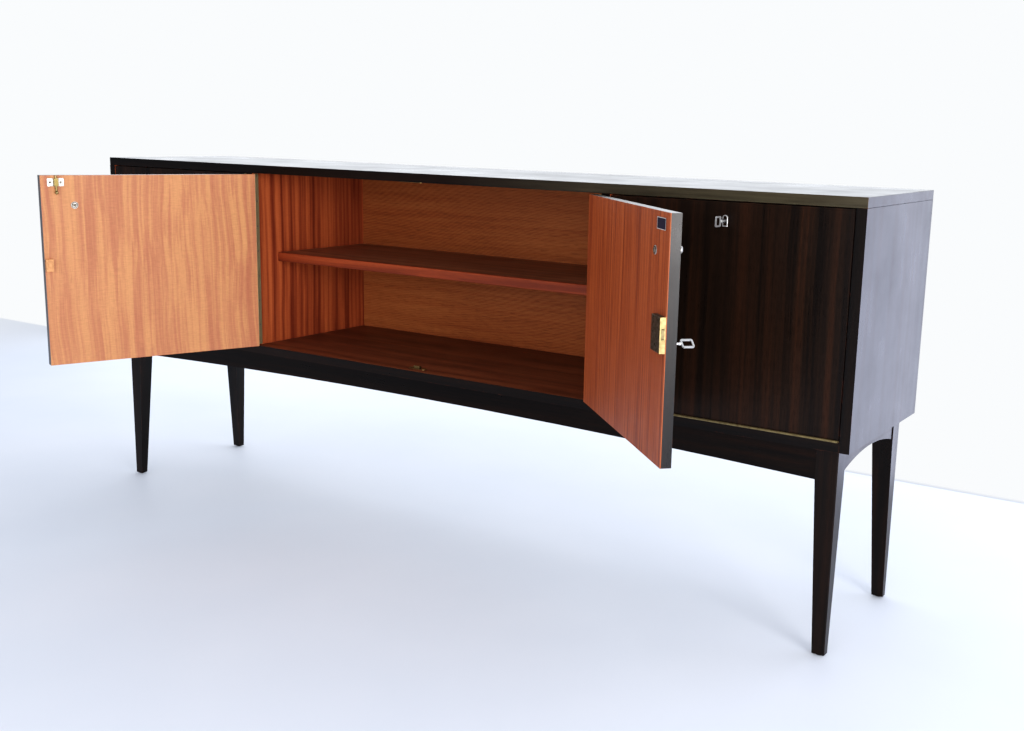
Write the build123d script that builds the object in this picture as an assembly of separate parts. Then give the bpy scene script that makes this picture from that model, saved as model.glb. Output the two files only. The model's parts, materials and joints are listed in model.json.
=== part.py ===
from build123d import *
import math
import os

# A long low sideboard on four tapered legs, in millimetres. +X is to the right seen from the front,
# +Y is towards the back and +Z is up. Everything is drawn with the case front at y = 0 and the doors
# shut, then the two centre doors are swung open and the whole piece is moved back by FRONT_Y, so that
# the origin is on the floor under the middle of its outline.

os.makedirs("parts", exist_ok=True)

# ---- driving dimensions ----------------------------------------------------------------------------
CASE_W = 2080.0
CASE_D = 412.0
TOP_Z = 880.0
CASE_Z = 412.0            # underside of the case, top of the legs
BOARD = 20.0              # thickness of every carcase board
DIVIDER_X = 497.0         # inner face of each divider
BACK_Y = 400.0            # front face of the back panel
BACK_T = 8.0

DOOR_GAP = 2.4            # between a hinged edge and the board it hangs on: two hinge leaves
FREE_GAP = 2.0            # round the other edges
FRONT_FACE = 0.5          # how far the fronts sit behind the case front
PANEL_T = 18.5
VENEER_T = 1.5
LEFT_OPEN = 110.5         # degrees that the centre doors stand open
RIGHT_OPEN = 136.5

KNUCKLE_R = 2.4
HINGE_PIN_R = 1.1
HINGE_RUN = 0.05          # radial clearance of the pin in the moving knuckles
LEAF_T = 1.1
LEAF_W = 19.0
LEAF_SCREWS = 0.7         # how far across the leaf its screws are
AXIS_Y = -2.6             # hinge axis, in front of the case front
KNUCKLE = 20.0            # length of one knuckle
SCREW_PITCH = 61.7
SCREW_HEAD_R = 2.1
SCREW_R = 1.2
SCREW_IN = 9.0

LEG_X = 1015.0            # outer face of the legs
LEG_Y = 17.0              # front face of the front legs
LEG_TOP = (43.0, 40.0)
LEG_FOOT = (25.0, 18.0)
LEG_STRAIGHT_Z = 348.0    # the legs taper below this
GLIDE_H = 3.0
GLIDE_R = 7.0
APRON_T = 20.0
APRON_END_Z = 348.0
APRON_MID_Z = 366.0
ARCH_END_Z = 362.0
ARCH_MID_Z = 382.0
REAR_APRON_Z = 352.0

SHELF_TOP_Z = 660.0
SHELF_T = 20.0
SHELF_FRONT = 80.0
LIP_T = 10.0
LIP_H = 22.0
SHELF_PIN_R = 2.5

KNOB_IN = 70.0            # from a door's free edge
KNOB_Z = 792.0
KNOB_R = 7.0
KNOB_H = 27.5
WASHER_R = 8.0
WASHER_T = 1.2
KNOB_SCREW_R = 3.6
KNOB_SCREW_H = 1.6

BOLT_IN = 31.8            # the surface bolt's rod, from the left door's free edge
BOLT_OUT = 5.5            # and from the door's inner face
BOLT_DROP = 6.5           # top of its plate below the door's top edge
BOLT_PLATE = (35.0, 17.0, 1.5)     # width, height and thickness
BOLT_GUIDE = (10.0, 8.0)  # width and depth of the block that the rod slides in
ROD_R = 2.4
ROD_RUN = 0.2             # clearance of the rod in its guide
ROD_TRAVEL = 9.0
ROD_HOLE_R = 3.2          # in the strike and the top
ROD_HOLE_DEEP = 14.0
BALL_R = 4.0
STRIKE_X = (-44.0, 20.0)
STRIKE_Y = (-4.0, 14.0)   # from a shut door's inner face
STRIKE_SCREWS_X = (-8.0, 14.0)
PLATE_T = 1.5             # the strike's and the catch's plates
CATCH_W = 46.0
CATCH_D = 16.0
STOP = (18.0, 6.0, 5.5)   # the catch's stop: width, depth and height
KEEP = (16.0, 27.0)       # the lock keep's depth in from the edge and its height
KEEP_WALL = 1.5
LABEL = (44.0, 20.0, 0.6)
LABEL_IN = 20.0           # from the right door's free edge
LABEL_Z = 838.0

LOCK_T = 10.0
LOCK_WALL = 1.5
FOREND_T = 2.0
BOLT_T = 5.0
BOLT_RUN = 0.3            # clearance of a bolt in its slot
KEY_HOLE_R = 4.5
RIM_LOCK_Z = 659.0
RIM_LOCK = (46.0, 60.0)
RIM_KEY = (-24.0, -18.0)  # key position from the middle of the forend: along the throw, and across
RIM_BOLT = (2.0, 18.0, 30.0)   # across, height and length
RIM_KEY_TURN = 57.0       # how far the bow is turned
FLAP_KEY_TURN = 90.0
FLAP_LOCK = (50.0, 60.0)
FLAP_KEY = (-35.6, 0.0)
FLAP_BOLT = (0.0, 24.0, 24.0)
KEY_BOW = (22.0, 20.0, 2.4)       # along the key, across it, and thickness
KEY_BAR = 3.0             # width of the bow's rim
RIM_KEY_OUT = 16.0        # from a front to its key's bow
FLAP_KEY_OUT = 20.0
ESCUTCHEON = (5.5, 11.0, 5.5)     # half its width, and its reach below the key and up to its arch
ESCUTCHEON_RIM = 1.8

STAY_R = 170.0
STAY_W = 10.0
STAY_T = 3.0
STAY_OFF = 7.0            # from the compartment wall to the middle of the stay
STAY_FOOT = (18.0, 36.0, 2.0)      # width, height and thickness
KEEPER = (9.0, 16.0, 20.0)         # out from the middle of the stay, depth and height
KEEPER_ANGLE = 68.0       # above the horizontal, round the flap's axis

BLOCK_SIZE = 34.0         # the glued corner blocks
BLOCK_LOW_Z = 366.0

# ---- places worked out from them -------------------------------------------------------------------
HALF_W = CASE_W / 2
SIDE_IN = HALF_W - BOARD                       # inner face of the sides
FLOOR_Z = CASE_Z + BOARD                       # upper face of the bottom board
CEIL_Z = TOP_Z - BOARD
DIVIDER_OUT = DIVIDER_X + BOARD
DOOR_T = PANEL_T + VENEER_T
INNER_Y = FRONT_FACE + DOOR_T                  # inner face of a shut door
DOOR_LOW = FLOOR_Z + FREE_GAP
DOOR_HIGH = CEIL_Z - FREE_GAP
DOOR_W = DIVIDER_X - DOOR_GAP - FREE_GAP / 2
AXIS_X = DIVIDER_X - DOOR_GAP / 2              # centre doors' hinge axes, at plus and minus
SIDE_AXIS_X = -(DIVIDER_OUT + DOOR_GAP / 2)
FLAP_AXIS_Z = FLOOR_Z + DOOR_GAP / 2
FLAP_LEFT = DIVIDER_OUT + FREE_GAP
FLAP_RIGHT = SIDE_IN - FREE_GAP
FLAP_MID = (FLAP_LEFT + FLAP_RIGHT) / 2
RIM_Y = INNER_Y + LOCK_T / 2                   # middle of the locks' bolts, doors shut
REACH = -AXIS_Y + math.sin(math.radians(LEFT_OPEN)) * (DOOR_W + DOOR_GAP / 2)
CORNER = -math.cos(math.radians(LEFT_OPEN)) * (INNER_Y + LOCK_T - AXIS_Y)
FRONT_Y = (REACH + CORNER - CASE_D) / 2

LEFT_AXIS = Axis((-AXIS_X, AXIS_Y, 0), (0, 0, 1))
RIGHT_AXIS = Axis((AXIS_X, AXIS_Y, 0), (0, 0, 1))
LEFT_BOLT_X = -FREE_GAP / 2 - BOLT_IN
LEFT_BOLT_Y = INNER_Y + BOLT_OUT
RIM_KEY_X = FREE_GAP / 2 - RIM_KEY[0]
RIM_KEY_Z = RIM_LOCK_Z + RIM_KEY[1]
FLAP_KEY_Z = DOOR_HIGH + FLAP_KEY[0]


def swing_left(shape):
    """Open the left centre door's pieces."""
    return shape.rotate(LEFT_AXIS, -LEFT_OPEN)


def swing_right(shape):
    """Open the right centre door's pieces."""
    return shape.rotate(RIGHT_AXIS, RIGHT_OPEN)


def as_is(shape):
    return shape


def write(name, shapes):
    """Write one node, moved to the model's own origin. A list is a group of separate solids."""
    group = shapes if isinstance(shapes, list) else [shapes]
    solids = [s for shape in group for s in shape.solids()]
    moved = [Pos(0, FRONT_Y, 0) * s for s in solids]
    export_step(moved[0] if len(moved) == 1 else Compound(children=moved), f"parts/{name}.step")


def block(x0, x1, y0, y1, z0, z1):
    """A box between two opposite corners."""
    middle = Pos((x0 + x1) / 2, (y0 + y1) / 2, (z0 + z1) / 2)
    return middle * Box(abs(x1 - x0), abs(y1 - y0), abs(z1 - z0))


def rod(start, end, radius):
    """A round bar from one point to another."""
    line = Edge.make_line(start, end)
    return extrude(Plane(origin=start, z_dir=line.tangent_at(0)) * Circle(radius), line.length)


def eased(shape, size=0.8):
    """Break every straight edge a little."""
    return chamfer(shape.edges(), size)


def mirrored(shape):
    """The same piece at the other end of the case."""
    return mirror(shape, Plane.YZ)


# ---- piano hinges ----------------------------------------------------------------------------------
# A hinge is drawn lying along +Z with its axis at the origin. Its frame leaf lies at x < 0 and its
# door leaf at x > 0, both running back along +Y, as they are when the door is shut.

def leaf(length, side, first, bore):
    """One leaf: a plate, every second knuckle, and the web between each knuckle and the plate."""
    inner, outer = side * 0.1, side * DOOR_GAP / 2
    face = -AXIS_Y
    plate = block(inner, outer, face + 0.3, face + LEAF_W, 0, length)
    row = face + LEAF_W * LEAF_SCREWS
    holes = [rod((inner - side, row, z), (outer + side, row, z), SCREW_HEAD_R + 0.05)
             for z in screw_places(length)]
    knuckles = []
    count = int(length // KNUCKLE)
    step = length / count
    for i in range(first, count, 2):
        low, high = i * step + 0.15, (i + 1) * step - 0.15
        tube = rod((0, 0, low), (0, 0, high), KNUCKLE_R) - rod((0, 0, low), (0, 0, high), bore)
        web = block(inner, outer, 1.4, face + 0.3, low, high)
        knuckles.append(tube + web)
    return plate + knuckles - holes


def screw_places(length):
    """Heights of a leaf's screws, from its lower end."""
    count = int((length - 2 * 5.0) // SCREW_PITCH) + 1
    return [length - 5.0 - i * SCREW_PITCH for i in range(count)]


def leaf_screws(length, side, grow=0.0):
    """The countersunk screws through one leaf. With grow, the holes that they need in the wood."""
    y = -AXIS_Y + LEAF_W * LEAF_SCREWS
    screws = []
    for z in screw_places(length):
        shank = rod((side * 0.7, y, z), (side * (DOOR_GAP / 2 + SCREW_IN), y, z), SCREW_R + grow)
        head = rod((side * 0.15, y, z), (side * (DOOR_GAP / 2 - 0.05), y, z), SCREW_HEAD_R)
        screws.append(shank if grow else shank + head)
    return screws


def hinge(place, length, turn):
    """(frame leaf, frame screws, door leaf, door screws, pin, holes in the wood), put in place."""
    flip = -1 if turn else 1
    pieces = (
        leaf(length, -flip, 0, HINGE_PIN_R),
        leaf_screws(length, -flip),
        leaf(length, flip, 1, HINGE_PIN_R + HINGE_RUN),
        leaf_screws(length, flip),
        rod((0, 0, 0.5), (0, 0, length - 0.5), HINGE_PIN_R),
        leaf_screws(length, -flip, 0.05) + leaf_screws(length, flip, 0.05),
    )
    return [[place * p for p in piece] if isinstance(piece, list) else place * piece for piece in pieces]


HINGE_LEN = DOOR_HIGH - DOOR_LOW
FLAP_HINGE_LEN = FLAP_RIGHT - FLAP_LEFT
LEFT = hinge(Pos(-AXIS_X, AXIS_Y, DOOR_LOW), HINGE_LEN, False)
RIGHT = hinge(Pos(AXIS_X, AXIS_Y, DOOR_LOW), HINGE_LEN, True)
SIDE = hinge(Pos(SIDE_AXIS_X, AXIS_Y, DOOR_LOW), HINGE_LEN, True)
# the flap's hinge lies along -X: its frame leaf is on the floor and its door leaf under the flap
flap_place = Plane(origin=(FLAP_RIGHT, AXIS_Y, FLAP_AXIS_Z), x_dir=(0, 0, 1), z_dir=(-1, 0, 0)).location
FLAP = hinge(flap_place, FLAP_HINGE_LEN, False)

FRAME_LEAF, FRAME_SCREWS, DOOR_LEAF, DOOR_SCREWS, PIN, HOLES = range(6)


# ---- locks -----------------------------------------------------------------------------------------
# A lock is drawn with its forend's outer face at x = 0 and its bolt thrown towards +X. It stands on a
# door's inner face at z = 0, and y runs across the throw.

def lock_case(size, key, bolt):
    """An open-backed box with a keyhole, and a way out for the bolt."""
    long, wide = size
    across, high, _ = bolt
    outer = block(-long, -FOREND_T, -wide / 2, wide / 2, 0, LOCK_T)
    hollow = block(-long + LOCK_WALL, -FOREND_T - LOCK_WALL, -wide / 2 + LOCK_WALL,
                   wide / 2 - LOCK_WALL, 0, LOCK_T - LOCK_WALL)
    case = chamfer(outer.faces().sort_by(Axis.Z)[-1].edges(), 0.8) - hollow
    return case - bolt_way(across, high) - Pos(*key, LOCK_T) * Cylinder(2.4, 2 * LOCK_WALL + 1)


def bolt_way(across, high):
    """The slot that a bolt slides through."""
    half = high / 2 + BOLT_RUN
    low = (LOCK_T - BOLT_T) / 2 - BOLT_RUN
    return block(-8, 20, across - half, across + half, low, LOCK_T - low)


def lock_forend(size, bolt):
    """The plate that the bolt slides through."""
    across, high, _ = bolt
    plate = block(-FOREND_T, 0, -size[1] / 2, size[1] / 2, 0, LOCK_T)
    return plate - bolt_way(across, high)


def lock_bolt(bolt):
    """The bolt, drawn back flush with the forend."""
    across, high, long = bolt
    low = (LOCK_T - BOLT_T) / 2
    body = block(-long, 0, across - high / 2, across + high / 2, low, low + BOLT_T)
    return chamfer(body.edges().filter_by(Axis.Z).sort_by(Axis.X)[-2:], 1.0)


def key_piece(key, turn, stand):
    """A key: its bit inside the case, and its open bow standing in front of the door."""
    long, wide, thick = KEY_BOW
    tip = LOCK_T - LOCK_WALL - 1.0
    near, half = -DOOR_T - stand, thick / 2
    far = near - long
    shank = rod((0, 0, tip), (0, 0, near), 2.0)
    bit = block(-half, half, 0, 8.0, 2.0, tip - 0.5)
    ring = block(-half, half, -wide / 2, wide / 2, far, near)
    side = wide / 2 - KEY_BAR
    hole = block(-thick, thick, -side, side, far + KEY_BAR, near - KEY_BAR)
    collar = rod((0, 0, near + 1), (0, 0, near + 4), 3.0)
    bow = chamfer(ring.edges().filter_by(Axis.X), 2.5) - hole
    return Pos(*key, 0) * Rot(0, 0, turn) * (shank + bit + collar + bow)


rim_place = Plane(origin=(FREE_GAP / 2, INNER_Y, RIM_LOCK_Z), x_dir=(-1, 0, 0), z_dir=(0, 1, 0)).location
flap_lock_place = Plane(origin=(FLAP_MID, INNER_Y, DOOR_HIGH), x_dir=(0, 0, 1), z_dir=(0, 1, 0)).location


# ---- the case --------------------------------------------------------------------------------------

def carcase():
    """The boards of the case, with holes for what is fixed to them."""
    write("top_board", eased(block(-HALF_W, HALF_W, 0, CASE_D, CEIL_Z, TOP_Z)) - top_pockets())
    bottom = block(-SIDE_IN, SIDE_IN, 0, CASE_D, CASE_Z, FLOOR_Z)
    write("bottom_board", bottom - FLAP[HOLES] - frame_screws(0.05))
    side = block(SIDE_IN, HALF_W, 0, CASE_D, CASE_Z, CEIL_Z)
    write("right_side", side)
    write("left_side", mirrored(side) - pin_holes())
    divider = block(DIVIDER_X, DIVIDER_OUT, 0, BACK_Y, FLOOR_Z, CEIL_Z)
    write("right_divider", divider - RIGHT[HOLES] - pin_holes())
    write("left_divider", mirrored(divider) - LEFT[HOLES] - SIDE[HOLES] - pin_holes())
    back = block(-SIDE_IN, SIDE_IN, BACK_Y, BACK_Y + BACK_T, FLOOR_Z, CEIL_Z)
    write("back_panel", back - back_screws(0.05))


def back_screws(grow=0.0):
    """Round-headed screws along the back panel's edges and dividers, from behind."""
    screws = []
    columns = [x * (SIDE_IN - 12) / 4 for x in range(-4, 5)]
    for x in columns:
        for z in (FLOOR_Z + 12, CEIL_Z - 12):
            screws.append(rod((x, BACK_Y + 0.5, z), (x, BACK_Y + BACK_T, z), 1.6 + grow))
            if not grow:
                head = Pos(x, BACK_Y + BACK_T + 0.8, z) * Rot(90, 0, 0) * Cylinder(3.4, 1.6)
                screws[-1] += head
    return screws


def top_pockets():
    """The holes in the top for the left door's bolt and the flap's lock, and the strike's recess."""
    rod_hole = rod((LEFT_BOLT_X, LEFT_BOLT_Y, CEIL_Z - 1),
                   (LEFT_BOLT_X, LEFT_BOLT_Y, CEIL_Z + ROD_HOLE_DEEP), ROD_HOLE_R)
    across, high, _ = FLAP_BOLT
    x, half = FLAP_MID + across, high / 2 + 1.5
    slot = block(x - half, x + half, RIM_Y - 4, RIM_Y + 4, CEIL_Z - 1, CEIL_Z + 11)
    return [rod_hole, slot] + strike_screws(0.05)


def strike_screws(grow=0.0):
    """Two small screws that hold the strike to the underside of the top."""
    y = INNER_Y + sum(STRIKE_Y) / 2
    return [rod((x, y, CEIL_Z - PLATE_T + 0.1), (x, y, CEIL_Z + SCREW_IN), SCREW_R + grow)
            for x in STRIKE_SCREWS_X]


def top_strike():
    """The brass plate that the left door's bolt goes up through."""
    plate = block(*STRIKE_X, INNER_Y + STRIKE_Y[0], INNER_Y + STRIKE_Y[1], CEIL_Z - PLATE_T, CEIL_Z)
    hole = Pos(LEFT_BOLT_X, LEFT_BOLT_Y, CEIL_Z) * Cylinder(ROD_HOLE_R, 8)
    write("top_strike", chamfer(plate.edges().filter_by(Axis.Z), 2.0) - hole - strike_screws(0.05))


def floor_catch():
    """The small brass stop on the floor behind the meeting doors."""
    near = INNER_Y + 2.0
    wide, deep, high = STOP
    top = FLOOR_Z + PLATE_T
    plate = block(-CATCH_W / 2, CATCH_W / 2, near, near + CATCH_D, FLOOR_Z, top)
    stop = block(-wide / 2, wide / 2, near + deep / 2, near + deep * 1.5, top, top + high)
    body = chamfer(plate.edges().filter_by(Axis.Z), 3.0) + chamfer(stop.edges().filter_by(Axis.Y), 1.5)
    write("floor_catch", body)


# ---- the base --------------------------------------------------------------------------------------

def leg():
    """The front right leg: straight beside the rails, then tapered on its two inner faces."""
    def outline(z, size):
        wide, deep = size
        place = Pos(LEG_X - wide / 2, LEG_Y + deep / 2, z)
        return place * Rectangle(wide, deep)
    straight = extrude(outline(LEG_STRAIGHT_Z, LEG_TOP), CASE_Z - LEG_STRAIGHT_Z)
    taper = loft([outline(GLIDE_H, LEG_FOOT), outline(LEG_STRAIGHT_Z, LEG_TOP)])
    body = straight + taper
    upright = [e for e in body.edges() if e.length > 30 and abs(e.tangent_at(0).Z) > 0.9]
    outer = [e for e in upright if e.center().X > LEG_X - 1 and e.center().Y < LEG_Y + 1]
    return chamfer(outer, 2.0)


def arched(length, end_z, mid_z, thickness):
    """A rail along +X, centred at x = 0, y from 0, with an arc along its lower edge."""
    half = length / 2
    sketch = make_face([
        Line((-half, CASE_Z), (half, CASE_Z)),
        Line((half, CASE_Z), (half, end_z)),
        ThreePointArc((half, end_z), (0, mid_z), (-half, end_z)),
        Line((-half, end_z), (-half, CASE_Z)),
    ])
    return extrude(Plane.XZ * sketch, -thickness)


def back_to_front(shape):
    """The same piece at the back of the case."""
    return mirror(shape, Plane.XZ.offset(-CASE_D / 2))


def base():
    """The legs, the rails between them and what holds them together."""
    front_right = leg()
    front_left = mirrored(front_right)
    write("front_right_leg", front_right)
    write("front_left_leg", front_left)
    write("rear_right_leg", back_to_front(front_right))
    write("rear_left_leg", back_to_front(front_left))
    span = 2 * (LEG_X - LEG_TOP[0])
    apron = Pos(0, LEG_Y + 3, 0) * arched(span, APRON_END_Z, APRON_MID_Z, APRON_T)
    write("front_apron", apron - frame_screws(0.05))
    rear = block(-span / 2, span / 2, CASE_D - LEG_Y - 3 - APRON_T, CASE_D - LEG_Y - 3, REAR_APRON_Z, CASE_Z)
    write("rear_apron", rear - frame_screws(0.05))
    run = CASE_D - 2 * (LEG_Y + LEG_TOP[1])
    rail = Pos(LEG_X - 2, CASE_D / 2, 0) * Rot(0, 0, 90) * arched(run, ARCH_END_Z, ARCH_MID_Z, APRON_T)
    write("right_arch_rail", rail - frame_screws(0.05))
    write("left_arch_rail", mirrored(rail) - frame_screws(0.05))
    glides = []
    for x in (-1, 1):
        for y in (LEG_Y + LEG_FOOT[1] / 2, CASE_D - LEG_Y - LEG_FOOT[1] / 2):
            glide = Pos(x * (LEG_X - LEG_FOOT[0] / 2), y, GLIDE_H / 2) * Cylinder(GLIDE_R, GLIDE_H)
            glides.append(chamfer(glide.edges().sort_by(Axis.Z)[0], 1.2))
    write("foot_glides", glides)
    write("corner_blocks", corner_blocks())
    write("frame_screws", frame_screws() + back_screws() + strike_screws())


def corner_blocks():
    """Glued blocks in the corners between the front and rear aprons and the side rails."""
    size = BLOCK_SIZE
    inner_x = LEG_X - LEG_TOP[0]
    front = LEG_Y + 3 + APRON_T
    wedge = block(inner_x - size, inner_x, front, front + size, BLOCK_LOW_Z, CASE_Z)
    cut = Pos(inner_x - size, front + size, CASE_Z) * Rot(0, 0, 45) * Box(24, 24, 100)
    one = wedge - cut
    pair = [one, mirrored(one)]
    return pair + [back_to_front(b) for b in pair]


def frame_screws(grow=0.0):
    """Wood screws up through the rails into the bottom board."""
    screws = []
    deep, up = 30.0, 12.0
    apron_y = LEG_Y + 3 + APRON_T / 2
    rail_x = LEG_X - 2 - APRON_T / 2
    places = [(x, y) for x in (-700, -240, 240, 700) for y in (apron_y, CASE_D - apron_y)]
    places += [(s * rail_x, y) for s in (-1, 1) for y in (120, CASE_D - 120)]
    for x, y in places:
        low = CASE_Z - deep if abs(x) < rail_x - 1 else CASE_Z - 20
        screws.append(rod((x, y, low), (x, y, CASE_Z + up), 2.0 + grow))
    return screws


# ---- shelves ---------------------------------------------------------------------------------------

def shelf_pin_places():
    """(x of the wall's face, way into the room, y) for each shelf pin."""
    rows = (SHELF_FRONT + 25, BACK_Y - 40)
    walls = ((-DIVIDER_X, 1), (DIVIDER_X, -1), (-SIDE_IN, 1), (-DIVIDER_OUT, -1))
    return [(x, way, y) for x, way in walls for y in rows]


def pin_holes():
    """The holes in the walls for the shelf pins."""
    z = SHELF_TOP_Z - SHELF_T - SHELF_PIN_R
    return [rod((x - way * 8.5, y, z), (x + way * 2, y, z), SHELF_PIN_R + 0.05)
            for x, way, y in shelf_pin_places()]


def shelves():
    """The centre compartment's lipped shelf, the left compartment's shelf and their pins."""
    gap, low = 0.8, SHELF_TOP_Z - SHELF_T
    board = block(-DIVIDER_X + gap, DIVIDER_X - gap, SHELF_FRONT + LIP_T, BACK_Y - 1, low, SHELF_TOP_Z)
    write("centre_shelf", board)
    lip = block(-DIVIDER_X + gap, DIVIDER_X - gap, SHELF_FRONT, SHELF_FRONT + LIP_T,
                SHELF_TOP_Z - LIP_H, SHELF_TOP_Z)
    write("centre_shelf_lipping", chamfer(lip.edges().filter_by(Axis.X).sort_by(Axis.Y)[:2], 1.0))
    side = block(-SIDE_IN + gap, -DIVIDER_OUT - gap, SHELF_FRONT, BACK_Y - 1, low, SHELF_TOP_Z)
    write("side_shelf", side)
    z = low - SHELF_PIN_R
    write("shelf_pins", [rod((x - way * 8, y, z), (x + way * 9, y, z), SHELF_PIN_R)
                         for x, way, y in shelf_pin_places()])


# ---- the fronts ------------------------------------------------------------------------------------

def knob(x):
    """A turned knob on a door's front, and its washer and screw on the inner face."""
    foot_h, flare_h = KNOB_H * 0.35, KNOB_H * 0.3
    head_h = KNOB_H - foot_h - flare_h
    foot = Pos(0, 0, foot_h / 2) * Cone(KNOB_R * 0.6, KNOB_R * 0.45, foot_h)
    flare = Pos(0, 0, foot_h + flare_h / 2) * Cone(KNOB_R * 0.45, KNOB_R, flare_h)
    cap = Pos(0, 0, KNOB_H - head_h / 2) * Cylinder(KNOB_R, head_h)
    turned = foot + flare + fillet(cap.edges().sort_by(Axis.Z)[-1], head_h * 0.4)
    front = Pos(x, FRONT_FACE, KNOB_Z) * Rot(90, 0, 0) * turned
    washer = Pos(x, INNER_Y + WASHER_T / 2, KNOB_Z) * Rot(90, 0, 0) * Cylinder(WASHER_R, WASHER_T)
    head_y = INNER_Y + WASHER_T + KNOB_SCREW_H / 2
    head = Pos(x, head_y, KNOB_Z) * Rot(90, 0, 0) * Cylinder(KNOB_SCREW_R, KNOB_SCREW_H)
    return [front, chamfer(washer.edges().sort_by(Axis.Y)[-1], WASHER_T / 2) + head]


def front(name, x0, x1, z0, z1, holes, turn):
    """A front's board with its dark outer face, and the veneered sheet on its inner face."""
    board = block(x0, x1, FRONT_FACE, FRONT_FACE + PANEL_T, z0, z1)
    sheet = block(x0, x1, FRONT_FACE + PANEL_T, INNER_Y, z0, z1)
    write(f"{name}_panel", turn(board - holes))
    write(f"{name}_inner_veneer", turn(sheet - holes))


def key_hole(x, z):
    return rod((x, -1, z), (x, INNER_Y + 1, z), KEY_HOLE_R)


def left_door():
    """The left centre door, with its surface bolt and the keep for the right door's lock."""
    front("left_door", -DOOR_W - FREE_GAP / 2, -FREE_GAP / 2, DOOR_LOW, DOOR_HIGH,
          LEFT[HOLES], swing_left)
    write("left_door_hinge_leaf", swing_left(LEFT[DOOR_LEAF]))
    write("left_door_hinge_screws", [swing_left(s) for s in LEFT[DOOR_SCREWS]])
    write("left_door_knob", [swing_left(s) for s in knob(-FREE_GAP / 2 - KNOB_IN)])
    x, y = LEFT_BOLT_X, LEFT_BOLT_Y
    high = DOOR_HIGH - BOLT_DROP
    wide, tall, thick = BOLT_PLATE
    low = high - tall
    face = INNER_Y + thick
    plate = block(x - wide / 2, x + wide / 2, INNER_Y, face, low, high)
    guide = block(x - BOLT_GUIDE[0] / 2, x + BOLT_GUIDE[0] / 2, face, face + BOLT_GUIDE[1], low, high)
    bore = rod((x, y, low - 1), (x, y, high + 1), ROD_R + ROD_RUN)
    body = chamfer(plate.edges().filter_by(Axis.Y), 1.2) + chamfer(guide.edges().filter_by(Axis.Z), 1.0)
    write("surface_bolt_plate", swing_left(body - bore))
    ball_z = low - ROD_TRAVEL - BALL_R - 1
    stem = rod((x, y, ball_z), (x, y, DOOR_HIGH - 0.5), ROD_R)
    ball = Pos(x, y + 2, ball_z) * Sphere(BALL_R)
    write("surface_bolt_rod", swing_left(stem + ball))
    write("lock_keep", swing_left(lock_keep()))


def lock_keep():
    """A box staple on the inner face that the right door's bolt shoots into."""
    edge, middle, half = -FREE_GAP / 2, RIM_LOCK_Z + RIM_BOLT[0], KEEP[1] / 2
    outer = block(edge - KEEP[0], edge, INNER_Y, INNER_Y + LOCK_T, middle - half, middle + half)
    hollow = block(edge - KEEP[0] + 2 * KEEP_WALL, edge + 1, INNER_Y + KEEP_WALL,
                   INNER_Y + LOCK_T - KEEP_WALL, middle - half + 2 * KEEP_WALL,
                   middle + half - 2 * KEEP_WALL)
    return outer - hollow


def right_door():
    """The right centre door, with its rim lock, key and label."""
    front("right_door", FREE_GAP / 2, DOOR_W + FREE_GAP / 2, DOOR_LOW, DOOR_HIGH,
          RIGHT[HOLES] + [key_hole(RIM_KEY_X, RIM_KEY_Z)], swing_right)
    write("right_door_hinge_leaf", swing_right(RIGHT[DOOR_LEAF]))
    write("right_door_hinge_screws", [swing_right(s) for s in RIGHT[DOOR_SCREWS]])
    write("right_door_knob", [swing_right(s) for s in knob(FREE_GAP / 2 + KNOB_IN)])
    pieces = {
        "rim_lock_case": lock_case(RIM_LOCK, RIM_KEY, RIM_BOLT),
        "rim_lock_forend": lock_forend(RIM_LOCK, RIM_BOLT),
        "rim_lock_bolt": lock_bolt(RIM_BOLT),
        "right_door_key": key_piece(RIM_KEY, RIM_KEY_TURN, RIM_KEY_OUT),
    }
    for name, shape in pieces.items():
        write(name, swing_right(rim_place * shape))
    wide, tall, thick = LABEL
    left = FREE_GAP / 2 + LABEL_IN
    plate = block(left, left + wide, INNER_Y, INNER_Y + thick, LABEL_Z - tall / 2, LABEL_Z + tall / 2)
    write("label_plate", swing_right(plate))


def flap():
    """The bar compartment's drop-down front, with its lock, key, escutcheon and stays."""
    front("flap", FLAP_LEFT, FLAP_RIGHT, FLOOR_Z + DOOR_GAP, DOOR_HIGH,
          FLAP[HOLES] + [key_hole(FLAP_MID, FLAP_KEY_Z)], as_is)
    write("flap_hinge_leaf", FLAP[DOOR_LEAF])
    write("flap_hinge_screws", FLAP[DOOR_SCREWS])
    pieces = {
        "flap_lock_case": lock_case(FLAP_LOCK, FLAP_KEY, FLAP_BOLT),
        "flap_lock_bolt": lock_bolt(FLAP_BOLT),
        "flap_key": key_piece(FLAP_KEY, FLAP_KEY_TURN, FLAP_KEY_OUT),
    }
    for name, shape in pieces.items():
        write(name, flap_lock_place * shape)
    write("flap_escutcheon", escutcheon(FLAP_MID, FLAP_KEY_Z))
    left, right = FLAP_LEFT - FREE_GAP + STAY_OFF, FLAP_RIGHT + FREE_GAP - STAY_OFF
    write("flap_stays", [stay(left, 1), stay(right, -1)])
    write("stay_keepers", [keeper(left, -1), keeper(right, 1)])


def arch(inset):
    """The escutcheon's arched outline about the key, drawn smaller by an inset."""
    half, low, high = ESCUTCHEON
    half, low = half - inset, low - inset
    return make_face([
        Line((-half, -low), (half, -low)),
        Line((half, -low), (half, high)),
        ThreePointArc((half, high), (0, high + half), (-half, high)),
        Line((-half, high), (-half, -low)),
    ])


def escutcheon(x, z):
    """An arched rim round the flap's keyhole."""
    place = Plane(origin=(x, FRONT_FACE, z), x_dir=(1, 0, 0), z_dir=(0, -1, 0))
    plate = extrude(place * arch(0), 1.2)
    opening = extrude(place * arch(ESCUTCHEON_RIM), 2.0)
    return chamfer(plate.faces().sort_by(Axis.Y)[0].edges(), 0.4) - opening


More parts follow.
